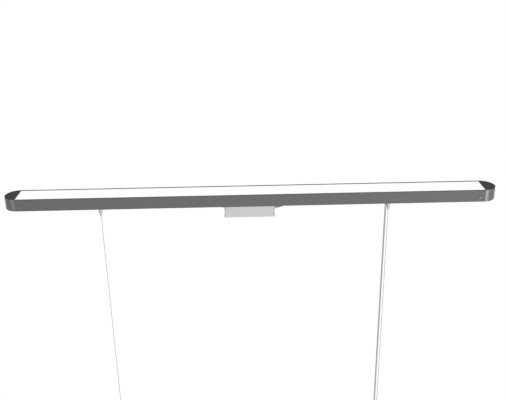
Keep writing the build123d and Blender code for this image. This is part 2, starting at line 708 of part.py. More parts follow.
def driver_case():
    length = DRIVER_LENGTH - 2 * END_PLATE
    case = along_bar(driver_section(), length, DRIVER_X - length / 2)
    for x in foot_places():
        case -= rod(x, 0, DRIVER_Z - 1, DRIVER_Z + DRIVER_WALL + 1, FOOT_SCREW_R + CAP_PLAY)
    return one(case)


def plate_screw_places():
    """Screw centres on an end plate, in Y and Z."""
    places = []
    for y_side in (-1, 1):
        for z in (DRIVER_Z + PLATE_SCREW_LOW, DRIVER_Z + DRIVER_HEIGHT - PLATE_SCREW_INSET):
            places.append((DRIVER_Y + y_side * (DRIVER_WIDTH / 2 - PLATE_SCREW_INSET), z))
    return places


def driver_end_plate(side):
    """Flat end plate; the supply side carries the cable bushing."""
    x0 = DRIVER_X + side * DRIVER_END
    x1 = x0 - side * END_PLATE
    half = DRIVER_WIDTH / 2
    plate = block(min(x0, x1), max(x0, x1), DRIVER_Y - half, DRIVER_Y + half, DRIVER_Z,
                  DRIVER_Z + DRIVER_HEIGHT)
    plate = fillet(plate.edges().filter_by(Axis.X), DRIVER_CORNER)
    for y, z in plate_screw_places():
        plate -= rod_x(x0 - 5, x0 + 5, y, z, PLATE_SCREW_R + CAP_PLAY)
    if side < 0:
        plate -= rod_x(x0 - 5, x0 + 5, DRIVER_Y, BUSHING_Z, BUSHING_R)
    return one(plate)


def driver_screws():
    """Pan-head screws of both end plates."""
    screws = []
    for side in (-1, 1):
        face = DRIVER_X + side * DRIVER_END
        for y, z in plate_screw_places():
            tip = face - side * PLATE_SCREW_LENGTH
            crown = face + side * PLATE_SCREW_HEAD
            shank = rod_x(min(tip, face), max(tip, face), y, z, PLATE_SCREW_R)
            head = rod_x(min(face, crown), max(face, crown), y, z, PLATE_SCREW_HEAD_R)
            rim = head.edges().filter_by(GeomType.CIRCLE).sort_by(Axis.X)[-1 if side > 0 else 0]
            screws.append(one(shank + fillet(rim, PLATE_SCREW_ROUND)))
    return screws


def cable_bushing():
    """Flanged bushing that holds the supply cable in the end plate."""
    face = DRIVER_X - DRIVER_END
    y = DRIVER_Y
    bushing = rod_x(face, face + BUSHING_LENGTH, y, BUSHING_Z, BUSHING_R - CORD_PLAY)
    flange = Pos(face - BUSHING_LENGTH / 2, y, BUSHING_Z) * Rot(0, -90, 0) * Cone(
        BUSHING_FLANGE_R, CABLE_R + BUSHING_TIP, BUSHING_LENGTH)
    bushing += flange
    return one(bushing - rod_x(face - BUSHING_LENGTH - 1, face + BUSHING_LENGTH + 1, y, BUSHING_Z,
                               CABLE_R + CORD_PLAY))


def pcb_top():
    return DRIVER_Z + DRIVER_WALL + PCB_RISE + PCB_THICK


def driver_board():
    """Circuit board on two runs of pillars standing on the case floor."""
    half_x = DRIVER_END - END_PLATE - PCB_PLAY
    half_y = DRIVER_WIDTH / 2 - PLATE_SCREW_INSET - PLATE_SCREW_R - PORT_WALL - PCB_PLAY
    board = block(DRIVER_X - half_x, DRIVER_X + half_x, DRIVER_Y - half_y, DRIVER_Y + half_y,
                  pcb_top() - PCB_THICK, pcb_top())
    for x_side in (-1, 1):
        for y_side in (-1, 1):
            x = DRIVER_X + x_side * (half_x - PLATE_SCREW_INSET)
            y = DRIVER_Y + y_side * (half_y - PLATE_SCREW_INSET)
            board += rod(x, y, DRIVER_Z + DRIVER_WALL, pcb_top() - PCB_THICK, PLATE_SCREW_R)
    return one(board)


def driver_transformer():
    """Ferrite core round a square winding."""
    base = pcb_top()
    x = DRIVER_X + CORE_X
    core = block(x - CORE_LENGTH / 2, x + CORE_LENGTH / 2, DRIVER_Y - CORE_WIDTH / 2,
                 DRIVER_Y + CORE_WIDTH / 2, base, base + CORE_HEIGHT)
    reach = CORE_LENGTH / 2 - CORE_LIMB
    winding = block(x - reach, x + reach, DRIVER_Y - WINDING_WIDTH / 2, DRIVER_Y + WINDING_WIDTH / 2,
                    base + CORE_YOKE, base + CORE_HEIGHT - CORE_YOKE)
    return one(core - winding + fillet(winding.edges().filter_by(Axis.X), WINDING_ROUND))


def driver_capacitors():
    """Upright electrolytic capacitors at the output end."""
    base = pcb_top()
    end = DRIVER_X + DRIVER_END
    return [rod(end - x, DRIVER_Y + y, base, base + CAPACITOR_HEIGHT, radius)
            for x, y, radius in CAPACITORS]


def driver_choke():
    """Toroidal choke lying on the board, beside the supply end."""
    x = DRIVER_X - DRIVER_END + CHOKE_FROM_END
    return Pos(x, DRIVER_Y + CHOKE_Y, pcb_top() + CHOKE_WINDING_R) * Torus(CHOKE_R, CHOKE_WINDING_R)


def driver_foot(side):
    """Moulded foot between the case and the back of the bar."""
    x0 = DRIVER_X + side * (DRIVER_END - FOOT_INSET)
    x1 = x0 - side * FOOT_LENGTH
    half = FOOT_WIDTH / 2
    y = DRIVER_Y
    foot = block(min(x0, x1), max(x0, x1), y - half, y + half, BACK_Z, DRIVER_Z)
    foot = chamfer(foot.edges().filter_by(Axis.Z), FOOT_CHAMFER)
    x = (x0 + x1) / 2
    return one(foot - rod(x, 0, BACK_Z - 1, DRIVER_Z + 1, FOOT_SCREW_R + CAP_PLAY))


def foot_places():
    reach = DRIVER_END - FOOT_INSET - FOOT_LENGTH / 2
    return (DRIVER_X - reach, DRIVER_X + reach)


def foot_nuts():
    """Slot nuts under the lips, one for each driver foot."""
    half = SLOT_INNER / 2 - NUT_PLAY
    top = BACK_Z - BACK_WALL
    nuts = []
    for x in foot_places():
        nut = block(x - FOOT_NUT_LENGTH / 2, x + FOOT_NUT_LENGTH / 2, -half, half,
                    top - FOOT_NUT_HEIGHT, top)
        nuts.append(one(nut - rod(x, 0, top - FOOT_NUT_HEIGHT - 1, top + 1, FOOT_SCREW_R)))
    return nuts


def foot_screws():
    """Screws from inside the case through floor and foot into the slot nuts."""
    screws = []
    floor = DRIVER_Z + DRIVER_WALL
    for x in foot_places():
        shank = rod(x, 0, BACK_Z - BACK_WALL - FOOT_NUT_HEIGHT, floor, FOOT_SCREW_R)
        head = rod(x, 0, floor, floor + FOOT_SCREW_HEAD, FOOT_SCREW_HEAD_R)
        screws.append(one(shank + head))
    return screws


def output_terminal():
    """Low black terminal block on the output end, with one wire entry per pole."""
    x0 = DRIVER_X + DRIVER_END
    y0 = DRIVER_Y - TERMINAL_NEAR
    z0 = BACK_Z + TERMINAL_RISE
    body = block(x0, x0 + OUTPUT_TERMINAL_DEPTH, y0, y0 + OUTPUT_TERMINAL_WIDTH, z0,
                 z0 + OUTPUT_TERMINAL_HEIGHT)
    body = chamfer(body.edges().filter_by(Axis.Y).group_by(Axis.X)[-1], TERMINAL_CHAMFER)
    pitch = OUTPUT_TERMINAL_WIDTH / (OUTPUT_POLES + 2)
    for number in range(OUTPUT_POLES):
        y = y0 + pitch * (number + 0.5)
        body -= rod_x(x0 + OUTPUT_TERMINAL_DEPTH - OUTPUT_ENTRY_DEPTH, x0 + OUTPUT_TERMINAL_DEPTH + 1,
                      y, z0 + OUTPUT_TERMINAL_HEIGHT / 2, OUTPUT_ENTRY_R)
    end_x, end_y, end_z = on_bar(LEAD_ROUTE)[-1]
    body -= rod_x(end_x - CORD_PLAY, end_x + OUTPUT_TERMINAL_DEPTH, end_y, end_z,
                  LEAD_R + LEAD_ENTRY_PLAY)
    return one(body)


def terminal_levers():
    """White release levers on the output terminal."""
    x0 = DRIVER_X + DRIVER_END + OUTPUT_TERMINAL_DEPTH
    top = BACK_Z + TERMINAL_RISE + OUTPUT_TERMINAL_HEIGHT - LEVER_DROP
    levers = []
    for start, width in LEVERS:
        y = DRIVER_Y - TERMINAL_NEAR + start
        lever = block(x0, x0 + LEVER_REACH, y, y + width, top - LEVER_HEIGHT, top)
        tip = lever.edges().filter_by(Axis.Y).group_by(Axis.X)[-1]
        levers.append(one(fillet(tip, LEVER_ROUND)))
    return levers


def control_terminal():
    """Light-grey control terminal: a low comb with a rib between each pair of poles."""
    x0 = DRIVER_X - DRIVER_END
    y0 = DRIVER_Y - TERMINAL_NEAR
    z0 = BACK_Z + TERMINAL_RISE
    depth = CONTROL_TERMINAL_DEPTH
    body = block(x0 - depth, x0, y0, y0 + CONTROL_TERMINAL_WIDTH, z0, z0 + CONTROL_TERMINAL_HEIGHT)
    pitch = (CONTROL_TERMINAL_WIDTH - CONTROL_RIB) / CONTROL_POLES
    for number in range(CONTROL_POLES):
        y = y0 + CONTROL_RIB + pitch * number
        body -= block(x0 - depth - 1, x0 - CONTROL_BACK, y, y + pitch - CONTROL_RIB,
                      z0 + CONTROL_FLOOR, z0 + CONTROL_TERMINAL_HEIGHT + 1)
    return one(body)


# --- cables -----------------------------------------------------------------------

def on_bar(route):
    """Route points moved to the bar's place."""
    return [(BAR_SHIFT + x, BAR_Y + y, BACK_Z + z) for x, y, z in route]


def supply_cable():
    """Driver to slot, along the slot and up beside the wire to the feed cup."""
    points = on_bar(CABLE_ROUTE)
    points.append((CABLE_X, 0.0, SWING_Z + STOP_LENGTH))
    return tube(points, CABLE_R)


def cord(route, radius):
    return tube(on_bar(route), radius)


def clip_places():
    """Even places along X between the driver and the right-hand grip."""
    first = DRIVER_X - DRIVER_END - CLIP_FROM_DRIVER
    last = CLIP_FROM_WIRE - WIRE_X
    return [first + (last - first) * number / (CLIP_COUNT - 1) for number in range(CLIP_COUNT)]


def cable_clips():
    """Snap-in saddles that carry the supply cable in the slot."""
    clips = []
    axis_z = BACK_Z + CABLE_ROUTE[2][2]
    half = SLOT_INNER / 2 - NUT_PLAY
    stem = CABLE_R + CORD_PLAY + CLIP_PRONG
    for x in clip_places():
        base = block(x - CLIP_LENGTH / 2, x + CLIP_LENGTH / 2, -half, half, SLOT_FLOOR_Z,
                     SLOT_FLOOR_Z + CLIP_BASE)
        cradle = block(x - CLIP_LENGTH / 2, x + CLIP_LENGTH / 2, -stem, stem, SLOT_FLOOR_Z,
                       axis_z + CABLE_R * CLIP_HOLD)
        clips.append(one(base + cradle - rod_x(x - CLIP_LENGTH, x + CLIP_LENGTH, 0, axis_z,
                                               CABLE_R + CORD_PLAY)))
    return clips


def wire_grommet():
    """Rubber grommet in the slot floor, with one hole for each output wire."""
    top = SLOT_FLOOR_Z + GROMMET_FLANGE
    bottom = SLOT_FLOOR_Z - SLOT_WALL
    flange = Pos(GROMMET_X, 0, SLOT_FLOOR_Z) * extrude(grommet_outline(GROMMET_LIP), GROMMET_FLANGE)
    sleeve = Pos(GROMMET_X, 0, bottom) * extrude(grommet_outline(-CORD_PLAY), SLOT_WALL)
    grommet = flange + sleeve
    for y in (RED_HOLE_Y, BLACK_HOLE_Y):
        grommet -= rod(GROMMET_X, y, bottom - 1, top + 1, OUTPUT_WIRE_R + CORD_PLAY)
    return one(grommet)


def connector(start, length, latch):
    """Half of the inline connector: a rounded block, with a latch rib on one half."""
    y = BAR_Y + CONNECTOR_Y
    half = CONNECTOR_WIDTH / 2
    z0 = BACK_Z + CONNECTOR_CLEAR
    body = block(start, start + length, y - half, y + half, z0, z0 + CONNECTOR_HEIGHT)
    body = fillet(body.edges().filter_by(Axis.X), CONNECTOR_ROUND)
    if latch:
        body += block(start, start + length * LATCH_SHARE, y - LATCH_WIDTH / 2, y + LATCH_WIDTH / 2,
                      z0 + CONNECTOR_HEIGHT, z0 + CONNECTOR_HEIGHT + LATCH_HEIGHT)
    return one(body)


def connector_plug():
    """Half on the red and black wires."""
    return connector(BAR_SHIFT + CONNECTOR_START - PLUG_BODY, PLUG_BODY, True)


def connector_socket():
    """Half on the driver lead."""
    start = BAR_SHIFT + CONNECTOR_START - PLUG_BODY - SOCKET_BODY
    return connector(start, SOCKET_BODY, False)


def main():
    os.makedirs("parts", exist_ok=True)
    save("body_profile", body_profile())
    save("end_cap_left", end_cap(1))
    save("end_cap_right", end_cap(-1))
    save("end_cap_screws", *cap_screws())
    save("opal_diffuser", opal_diffuser())
    save("led_board_left", led_board(1))
    save("led_board_right", led_board(-1))
    save("led_chips", *led_chips())
    save("board_link", board_link())
    save("slot_cover_left", slot_cover(1))
    save("slot_cover_right", slot_cover(-1))
    for side, x in (("left", WIRE_X), ("right", -WIRE_X)):
        save(f"slot_nut_{side}", slot_nut(x))
        save(f"grip_stud_{side}", grip_stud(x))
        save(f"grip_barrel_{side}", grip_barrel(x))
        save(f"grip_plunger_{side}", grip_plunger(x))
        save(f"grip_balls_{side}", *grip_balls(x))
        save(f"grip_spring_{side}", grip_spring(x))
        save(f"suspension_wire_{side}", suspension_wire(x))
        save(f"wire_ball_{side}", wire_ball(x))
    save("ceiling_plate", ceiling_plate(WIRE_X, 0))
    save("ceiling_cup", ceiling_cup())
    save("feed_plate", ceiling_plate(-WIRE_X, FEED_ENTRY_R))
    save("feed_cup", feed_cup())
    save("cable_stop", cable_stop())
    save("splice_terminal", splice_terminal())
    save("driver_case", driver_case())
    save("driver_end_plate_left", driver_end_plate(1))
    save("driver_end_plate_right", driver_end_plate(-1))
    save("driver_screws", *driver_screws())
    save("cable_bushing", cable_bushing())
    save("driver_board", driver_board())
    save("driver_transformer", driver_transformer())
    save("driver_capacitors", *driver_capacitors())
    save("driver_choke", driver_choke())
    save("driver_foot_left", driver_foot(1))
    save("driver_foot_right", driver_foot(-1))
    save("foot_nuts", *foot_nuts())
    save("foot_screws", *foot_screws())
    save("output_terminal", output_terminal())
    save("terminal_levers", *terminal_levers())
    save("control_terminal", control_terminal())
    save("supply_cable", supply_cable())
    save("cable_clips", *cable_clips())
    save("wire_grommet", wire_grommet())
    save("output_wire_red", cord(RED_ROUTE, OUTPUT_WIRE_R))
    save("output_wire_black", cord(BLACK_ROUTE, OUTPUT_WIRE_R))
    save("driver_lead", cord(LEAD_ROUTE, LEAD_R))
    save("connector_plug", connector_plug())
    save("connector_socket", connector_socket())


main()
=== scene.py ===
import json
import math

import bpy
import numpy as np
from mathutils import Matrix, Vector


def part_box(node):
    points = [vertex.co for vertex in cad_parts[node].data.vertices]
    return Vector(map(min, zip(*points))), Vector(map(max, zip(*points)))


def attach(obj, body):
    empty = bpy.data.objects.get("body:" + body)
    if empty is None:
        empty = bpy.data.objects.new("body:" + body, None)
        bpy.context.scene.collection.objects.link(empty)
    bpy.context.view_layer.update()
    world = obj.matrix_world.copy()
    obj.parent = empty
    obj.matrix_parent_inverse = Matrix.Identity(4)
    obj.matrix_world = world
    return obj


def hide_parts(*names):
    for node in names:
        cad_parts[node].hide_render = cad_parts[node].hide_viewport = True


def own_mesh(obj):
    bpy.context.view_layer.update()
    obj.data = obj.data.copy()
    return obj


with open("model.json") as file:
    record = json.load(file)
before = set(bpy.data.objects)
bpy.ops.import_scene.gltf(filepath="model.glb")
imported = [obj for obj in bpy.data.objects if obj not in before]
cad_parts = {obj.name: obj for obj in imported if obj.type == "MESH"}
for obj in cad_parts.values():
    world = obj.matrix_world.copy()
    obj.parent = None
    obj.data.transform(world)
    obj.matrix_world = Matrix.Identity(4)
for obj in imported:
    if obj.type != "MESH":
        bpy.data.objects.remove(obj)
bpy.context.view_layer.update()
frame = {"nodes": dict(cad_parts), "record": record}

MM = 0.001
PENDANT = "pendant"

# --- places read from the frame -------------------------------------------------------
bar_low, bar_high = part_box("body_profile")
BACK_Z = bar_high.z
FACE_Z = bar_low.z
BAR_X = (bar_low.x + bar_high.x) / 2
BAR_Y = (bar_low.y + bar_high.y) / 2
END_R = (bar_high.y - bar_low.y) / 2
wire_low, wire_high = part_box("suspension_wire_left")
WIRE_X = (wire_low.x + wire_high.x) / 2
WIRE_BOTTOM = wire_low.z
WIRE_TOP = wire_high.z
stop_low, stop_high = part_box("cable_stop")
CABLE_X = (stop_low.x + stop_high.x) / 2
STOP_TOP = stop_high.z

# --- camera ---------------------------------------------------------------------------
CAMERA_LENS = 51.5                                  # millimetres
SENSOR_WIDTH = 36.0                                 # millimetres
CAMERA_PITCH = math.radians(22.51)                  # looks up at the light face
CAMERA_YAW = math.radians(0.48)
CAMERA_ROLL = math.radians(-1.03)
CAMERA_PLACE = Vector((0.0080, -1.6471, -0.6561))   # from the middle of the light face
CLIP_NEAR = 0.02
CLIP_FAR = 60.0
HALF_TURN = np.diag([-1.0, 1.0, -1.0])


def turn(axis, angle):
    """Rotation matrix about one axis, as a numpy array."""
    return np.array(Matrix.Rotation(angle, 3, axis))


def make_camera():
    """Camera below the near side of the lamp, rolled half a turn so that the light face is on
    top."""
    data = bpy.data.cameras.new("camera")
    data.lens = CAMERA_LENS
    data.sensor_width = SENSOR_WIDTH
    data.clip_start = CLIP_NEAR
    data.clip_end = CLIP_FAR
    camera = new_object("camera", data)
    right, forward, up = (turn("Y", CAMERA_ROLL) @ turn("X", CAMERA_PITCH)
                          @ turn("Z", CAMERA_YAW) @ HALF_TURN)
    axes = Matrix(np.column_stack([right, up, -forward]).tolist()).to_4x4()
    place = Vector((BAR_X, BAR_Y, FACE_Z)) + CAMERA_PLACE
    camera.matrix_world = Matrix.Translation(place) @ axes
    bpy.context.scene.camera = camera


# --- mesh helpers ---------------------------------------------------------------------
NO_TRIANGLES = np.empty((0, 3), dtype=np.int64)
SMOOTH_ANGLE = 35.0          # degrees; edges that turn by more stay hard
BAR_SMOOTH_ANGLE = 60.0      # the same for thin round bars, which have few sides


def new_object(name, data):
    """An object in the scene's own collection."""
    piece = bpy.data.objects.new(name, data)
    bpy.context.scene.collection.objects.link(piece)
    return piece


def mesh_piece(name, points, quads, triangles=NO_TRIANGLES, smooth_angle=SMOOTH_ANGLE):
    """A mesh object from arrays of points (n, 3), quads (m, 4) and triangles (k, 3)."""
    corners = np.concatenate([quads.ravel(), triangles.ravel()])
    sizes = np.concatenate([np.full(len(quads), 4), np.full(len(triangles), 3)])
    mesh = bpy.data.meshes.new(name)
    mesh.vertices.add(len(points))
    mesh.vertices.foreach_set("co", points.astype(np.float32).ravel())
    mesh.loops.add(corners.size)
    mesh.loops.foreach_set("vertex_index", corners.astype(np.int32))
    mesh.polygons.add(sizes.size)
    mesh.polygons.foreach_set("loop_start", (np.cumsum(sizes) - sizes).astype(np.int32))
    mesh.update(calc_edges=True)
    mesh.validate()
    mesh.polygons.foreach_set("use_smooth", np.ones(len(mesh.polygons), dtype=bool))
    mesh.set_sharp_from_angle(angle=math.radians(smooth_angle))
    return new_object(name, mesh)


def grid_quads(rows, columns):
    """Quads of a rows by columns grid of points, counted row by row, whose columns join round."""
    row, column = np.meshgrid(np.arange(rows - 1), np.arange(columns), indexing="ij")
    here = row * columns + column
    beside = row * columns + (column + 1) % columns
    return np.stack([here, beside, beside + columns, here + columns], axis=-1).reshape(-1, 4)


def round_bars(paths, radius, sides, reference):
    """Round bars along paths, an array (bars, steps, 3). At each step the section is the circle
    radius * (cos a * u + sin a * v): u is the reference direction made square to the path and v
    is square to both. A flat fan round the path's own end point closes each end."""
    along = np.gradient(paths, axis=1)
    along /= np.linalg.norm(along, axis=-1, keepdims=True)
    across = reference - (reference * along).sum(axis=-1, keepdims=True) * along
    across /= np.linalg.norm(across, axis=-1, keepdims=True)
    other = np.cross(along, across)
    angle = (2 * math.pi * np.arange(sides) / sides)[:, None]
    rings = np.cos(angle) * across[:, :, None, :] + np.sin(angle) * other[:, :, None, :]
    rings = paths[:, :, None, :] + radius * rings
    bars, steps = paths.shape[:2]
    points = np.concatenate([paths[:, :1], rings.reshape(bars, steps * sides, 3), paths[:, -1:]],
                            axis=1)
    side = np.arange(sides)
    turned = (side + 1) % sides
    top = 1 + (steps - 1) * sides
    fans = np.concatenate([
        np.stack([np.zeros(sides, int), 1 + turned, 1 + side], axis=-1),
        np.stack([np.full(sides, top + sides), top + side, top + turned], axis=-1)])
    first = (np.arange(bars) * points.shape[1])[:, None, None]
    quads = (grid_quads(steps, sides) + 1 + first).reshape(-1, 4)
    return points.reshape(-1, 3), quads, (fans + first).reshape(-1, 3)


# --- cords ----------------------------------------------------------------------------
# Route points in millimetres: X and Y from the middle of the bar, height above its back face.
CABLE_ROUTE = ((-56.0, 4.25, 17.5), (-80.0, 4.25, 17.5), (-88.0, 9.75, 0.2), (-110.0, 9.75, 0.2),
               (-306.0, 9.75, 0.2), (-327.0, 9.75, 0.2), (-336.0, 9.75, 9.2), (-336.0, 9.75, 34.0))
RED_ROUTE = ((363.5, 7.55, -13.9), (363.5, 7.55, -2.2), (350.5, 9.6, 2.6), (331.0, 14.5, 2.1),
             (311.0, 14.5, 2.1), (203.5, 14.5, 2.1))
BLACK_ROUTE = ((363.5, 11.95, -13.9), (363.5, 11.95, -2.2), (350.5, 14.0, 2.9),
               (331.0, 18.95, 2.1), (311.0, 18.95, 2.1), (203.5, 18.95, 2.1))
LEAD_ROUTE = ((69.1, 14.6, 3.4), (105.0, 16.9, 2.2), (140.0, 17.9, 2.3), (166.8, 17.2, 3.0))

CABLE_R = 2.1 * MM
OUTPUT_WIRE_R = 2.05 * MM
CORD_STEPS = 12              # along the curve, between two route points
CORD_BEVEL = 6               # resolution of the round section

WIRE_R = 0.6 * MM
STRANDS = 6                  # laid round one more strand of the same size
STRAND_R = WIRE_R / 3
STRAND_SIDES = 6
WIRE_LAY = 9.0 * MM
RINGS_PER_LAY = 8


def on_bar(route):
    """Route points in metres, in the row frame."""
    return [Vector((BAR_X + x * MM, BAR_Y + y * MM, BACK_Z + z * MM)) for x, y, z in route]


def route_curve(name, points, radius, steps):
    """NURBS curve whose control points are a route's points, with steps between two of them."""
    data = bpy.data.curves.new(name, "CURVE")
    data.dimensions = "3D"
    spline = data.splines.new("NURBS")
    spline.points.add(len(points) - 1)
    for control, place in zip(spline.points, points):
        control.co = (*place, 1.0)
        control.radius = radius
    spline.order_u = 3
    spline.use_endpoint_u = True
    spline.resolution_u = steps
    return data


def read_route(points, steps):
    """Points along a route's spline, read from the curve with no bevel."""
    holder = new_object("route", route_curve("route", points, 1.0, steps))
    line = bpy.data.meshes.new_from_object(holder)
    places = np.empty(len(line.vertices) * 3)
    line.vertices.foreach_get("co", places)
    bpy.data.objects.remove(holder)
    bpy.data.meshes.remove(line)
    return places.reshape(-1, 3)


def round_cord(name, points, radius, node):
    """A cord as a NURBS curve on its control points, with a round section."""
    data = route_curve(name, points, radius, CORD_STEPS)
    data.bevel_depth = 1.0                          # times each point's radius
    data.bevel_resolution = CORD_BEVEL
    data.use_fill_caps = True
    piece = new_object(name, data)
    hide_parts(node)
    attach(piece, PENDANT)
    return piece


def strand_paths(line, lay, ring, strands):
    """Middles of a laid wire's strands: each turns round the line on a circle of radius ring,
    once per lay of the line's height, and the strands start evenly round that circle."""
    start = 2 * math.pi * np.arange(strands) / strands
    angle = 2 * math.pi * (line[:, 2] - line[0, 2]) / lay + start[:, None]
    return line + ring * np.stack([np.cos(angle), np.sin(angle), np.zeros_like(angle)], axis=-1)


def suspension_wire(side, x):
    """Stranded steel wire from its trimmed end in the slot, through the grip, to the ball in the
    ceiling cup."""
    length = WIRE_TOP - WIRE_BOTTOM
    route = [Vector((x, 0.0, WIRE_BOTTOM + share * length)) for share in (0.0, 0.5, 1.0)]
    line = read_route(route, round(length / WIRE_LAY * RINGS_PER_LAY))
    paths = np.concatenate([strand_paths(line, WIRE_LAY, WIRE_R - STRAND_R, STRANDS), line[None]])
    bars = round_bars(paths, STRAND_R, STRAND_SIDES, np.array([1.0, 0.0, 0.0]))
    piece = mesh_piece(f"laid_wire_{side}", *bars, BAR_SMOOTH_ANGLE)
    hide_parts(f"suspension_wire_{side}")
    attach(piece, PENDANT)
    return piece


def make_cords():
    """The supply cable, the two output wires, the driver's lead and the two suspension wires."""
    points = on_bar(CABLE_ROUTE) + [Vector((CABLE_X, 0.0, STOP_TOP))]
    cable = round_cord("supply_flex", points, CABLE_R, "supply_cable")
    made = {"cable": cable}
    for colour, route in (("red", RED_ROUTE), ("black", BLACK_ROUTE)):
        points = on_bar(route)
        wire = round_cord(f"output_lead_{colour}", points, OUTPUT_WIRE_R, f"output_wire_{colour}")
        made[colour] = wire
    points = on_bar(LEAD_ROUTE)
    lead = round_cord("driver_flex", points, OUTPUT_WIRE_R, "driver_lead")
    made["lead"] = lead
    made["wire_left"] = suspension_wire("left", WIRE_X)
    made["wire_right"] = suspension_wire("right", -WIRE_X)
    return made


# --- grip springs ---------------------------------------------------------------------
SPRING_R = 2.5 * MM
SPRING_WIRE_R = 0.2 * MM
SPRING_TURNS = 3.0
SPRING_STEPS = 144
SPRING_SIDES = 10


def grip_spring(side, x):
    """Coil spring under a grip's nose, as tall as the frame's spring. The wire's middle goes round
    a circle at an even rate while it climbs by u - sin(2 pi u) / (2 pi) of the height, with u from
    0 to 1, so that the coil is flat at both ends."""
    low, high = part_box(f"grip_spring_{side}")
    share = np.linspace(0.0, 1.0, SPRING_STEPS + 1)
    angle = 2 * math.pi * SPRING_TURNS * share
    outward = np.stack([np.cos(angle), np.sin(angle), np.zeros_like(angle)], axis=-1)
    bottom = low.z + SPRING_WIRE_R
    climb = share - np.sin(2 * math.pi * share) / (2 * math.pi)
    path = SPRING_R * outward + np.array([x, 0.0, bottom])
    path[:, 2] += climb * (high.z - SPRING_WIRE_R - bottom)
    bars = round_bars(path[None], SPRING_WIRE_R, SPRING_SIDES, outward)
    piece = mesh_piece(f"nose_spring_{side}", *bars, BAR_SMOOTH_ANGLE)
    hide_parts(f"grip_spring_{side}")
    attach(piece, PENDANT)
    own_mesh(piece)
    return piece


# --- shader helpers -------------------------------------------------------------------
MIX_FIRST, MIX_SECOND, MIX_RESULT = 6, 7, 2         # the colour sockets of a Mix node


def group(name, inputs, outputs):
    """An empty shader node group with named sockets."""
    tree = bpy.data.node_groups.new(name, "ShaderNodeTree")
    for label, kind, default in inputs:
        socket = tree.interface.new_socket(label, in_out="INPUT", socket_type=kind)
        socket.default_value = default
    for label, kind in outputs:
        tree.interface.new_socket(label, in_out="OUTPUT", socket_type=kind)
    return tree, tree.nodes.new("NodeGroupInput"), tree.nodes.new("NodeGroupOutput")


def add_node(tree, kind, **settings):
    """A node of one kind with its settings."""
    made = tree.nodes.new(kind)
    for key, value in settings.items():
        setattr(made, key, value)
    return made


def feed(tree, value, socket):
    """Link a socket to an output, or set it to a plain value."""
    if hasattr(value, "is_output"):
        tree.links.new(value, socket)
    else:
        socket.default_value = value


def math_node(tree, operation, first, second=0.5):
    """A Math node whose inputs are sockets or plain numbers."""
    made = add_node(tree, "ShaderNodeMath", operation=operation)
    for socket, value in zip(made.inputs, (first, second)):
        feed(tree, value, socket)
    return made.outputs[0]


def times(tree, first, second):
    """Product of two values."""
    return math_node(tree, "MULTIPLY", first, second)


def blend(tree, first, second, share):
    """A share of the first value plus the rest of the second."""
    return math_node(tree, "ADD", times(tree, first, share), times(tree, second, 1 - share))


def remap(tree, value, source, target=(0.0, 1.0)):
    """A value scaled from one pair of limits to another and held between them."""
    made = add_node(tree, "ShaderNodeMapRange", clamp=True)
    tree.links.new(value, made.inputs["Value"])
    for label, limit in zip(("From Min", "From Max", "To Min", "To Max"), (*source, *target)):
        made.inputs[label].default_value = limit
    return made.outputs["Result"]


def mixed(tree, factor, first, second):
    """Colour mix; first and second are colours or sockets."""
    made = add_node(tree, "ShaderNodeMix", data_type="RGBA")
    tree.links.new(factor, made.inputs["Factor"])
    for index, value in ((MIX_FIRST, first), (MIX_SECOND, second)):
        feed(tree, (*value, 1.0) if isinstance(value, tuple) else value, made.inputs[index])
    return made.outputs[MIX_RESULT]


def object_coordinates(tree, stretch=(1.0, 1.0, 1.0)):
    """Object coordinates, scaled along each axis."""
    coordinates = add_node(tree, "ShaderNodeTexCoord")
    mapping = add_node(tree, "ShaderNodeMapping")
    mapping.inputs["Scale"].default_value = stretch
    tree.links.new(coordinates.outputs["Object"], mapping.inputs["Vector"])
    return mapping.outputs["Vector"]


def surface_normal(tree):
    """The flat normal of the surface."""
    return add_node(tree, "ShaderNodeNewGeometry").outputs["Normal"]


def along_axis(tree, vector, axis):
    """One coordinate of a vector."""
    split = add_node(tree, "ShaderNodeSeparateXYZ")
    tree.links.new(vector, split.inputs[0])
    return split.outputs[axis]


def noise(tree, vector, scale, detail=3.0, roughness=0.55):
    """Noise from 0 to 1; its scale is a socket or a plain number."""
    made = add_node(tree, "ShaderNodeTexNoise")
    made.inputs["Detail"].default_value = detail
    made.inputs["Roughness"].default_value = roughness
    tree.links.new(vector, made.inputs["Vector"])
    feed(tree, scale, made.inputs["Scale"])
    return made.outputs["Fac"]


# --- shader groups --------------------------------------------------------------------
NOISE_MIDDLE = (0.35, 0.65)      # most of the noise lies between these
COARSE_SIZE = 0.21               # scale of the coarse grain, beside the fine grain's
FINE_SHARE = 0.7                 # of the grain's height
LINE_STRETCH = (0.012, 1.0, 1.0)
BROAD_PITCH = 0.12               # scale of the broad lines, beside the fine lines'
STREAK_SHARE = 0.6               # of the fine lines in the streaks
EDGE_RADIUS = 0.7 * MM
EDGE_LEAN = (0.995, 0.86)        # product of the two normals where wear starts and is full
EDGE_PATCHES = (0.42, 0.62)
DUST_FACING = (0.35, 1.0)        # how far up a surface faces where dust starts and is full
DUST_PATCHES = (0.4, 0.75)
DUST_GRAIN = 1300.0
DUST_GRAIN_LIMITS = (0.45, 0.7)
DUST_GRAIN_AMOUNTS = (0.35, 1.0)
RIM_FADE = (0.4, 1.0)            # shares of the rim's width where the shade starts to go and ends
RIM_FACING = (0.4, 0.9)          # how far up a surface faces where the shade starts to go and ends
FADING = (1.0, 0.0)


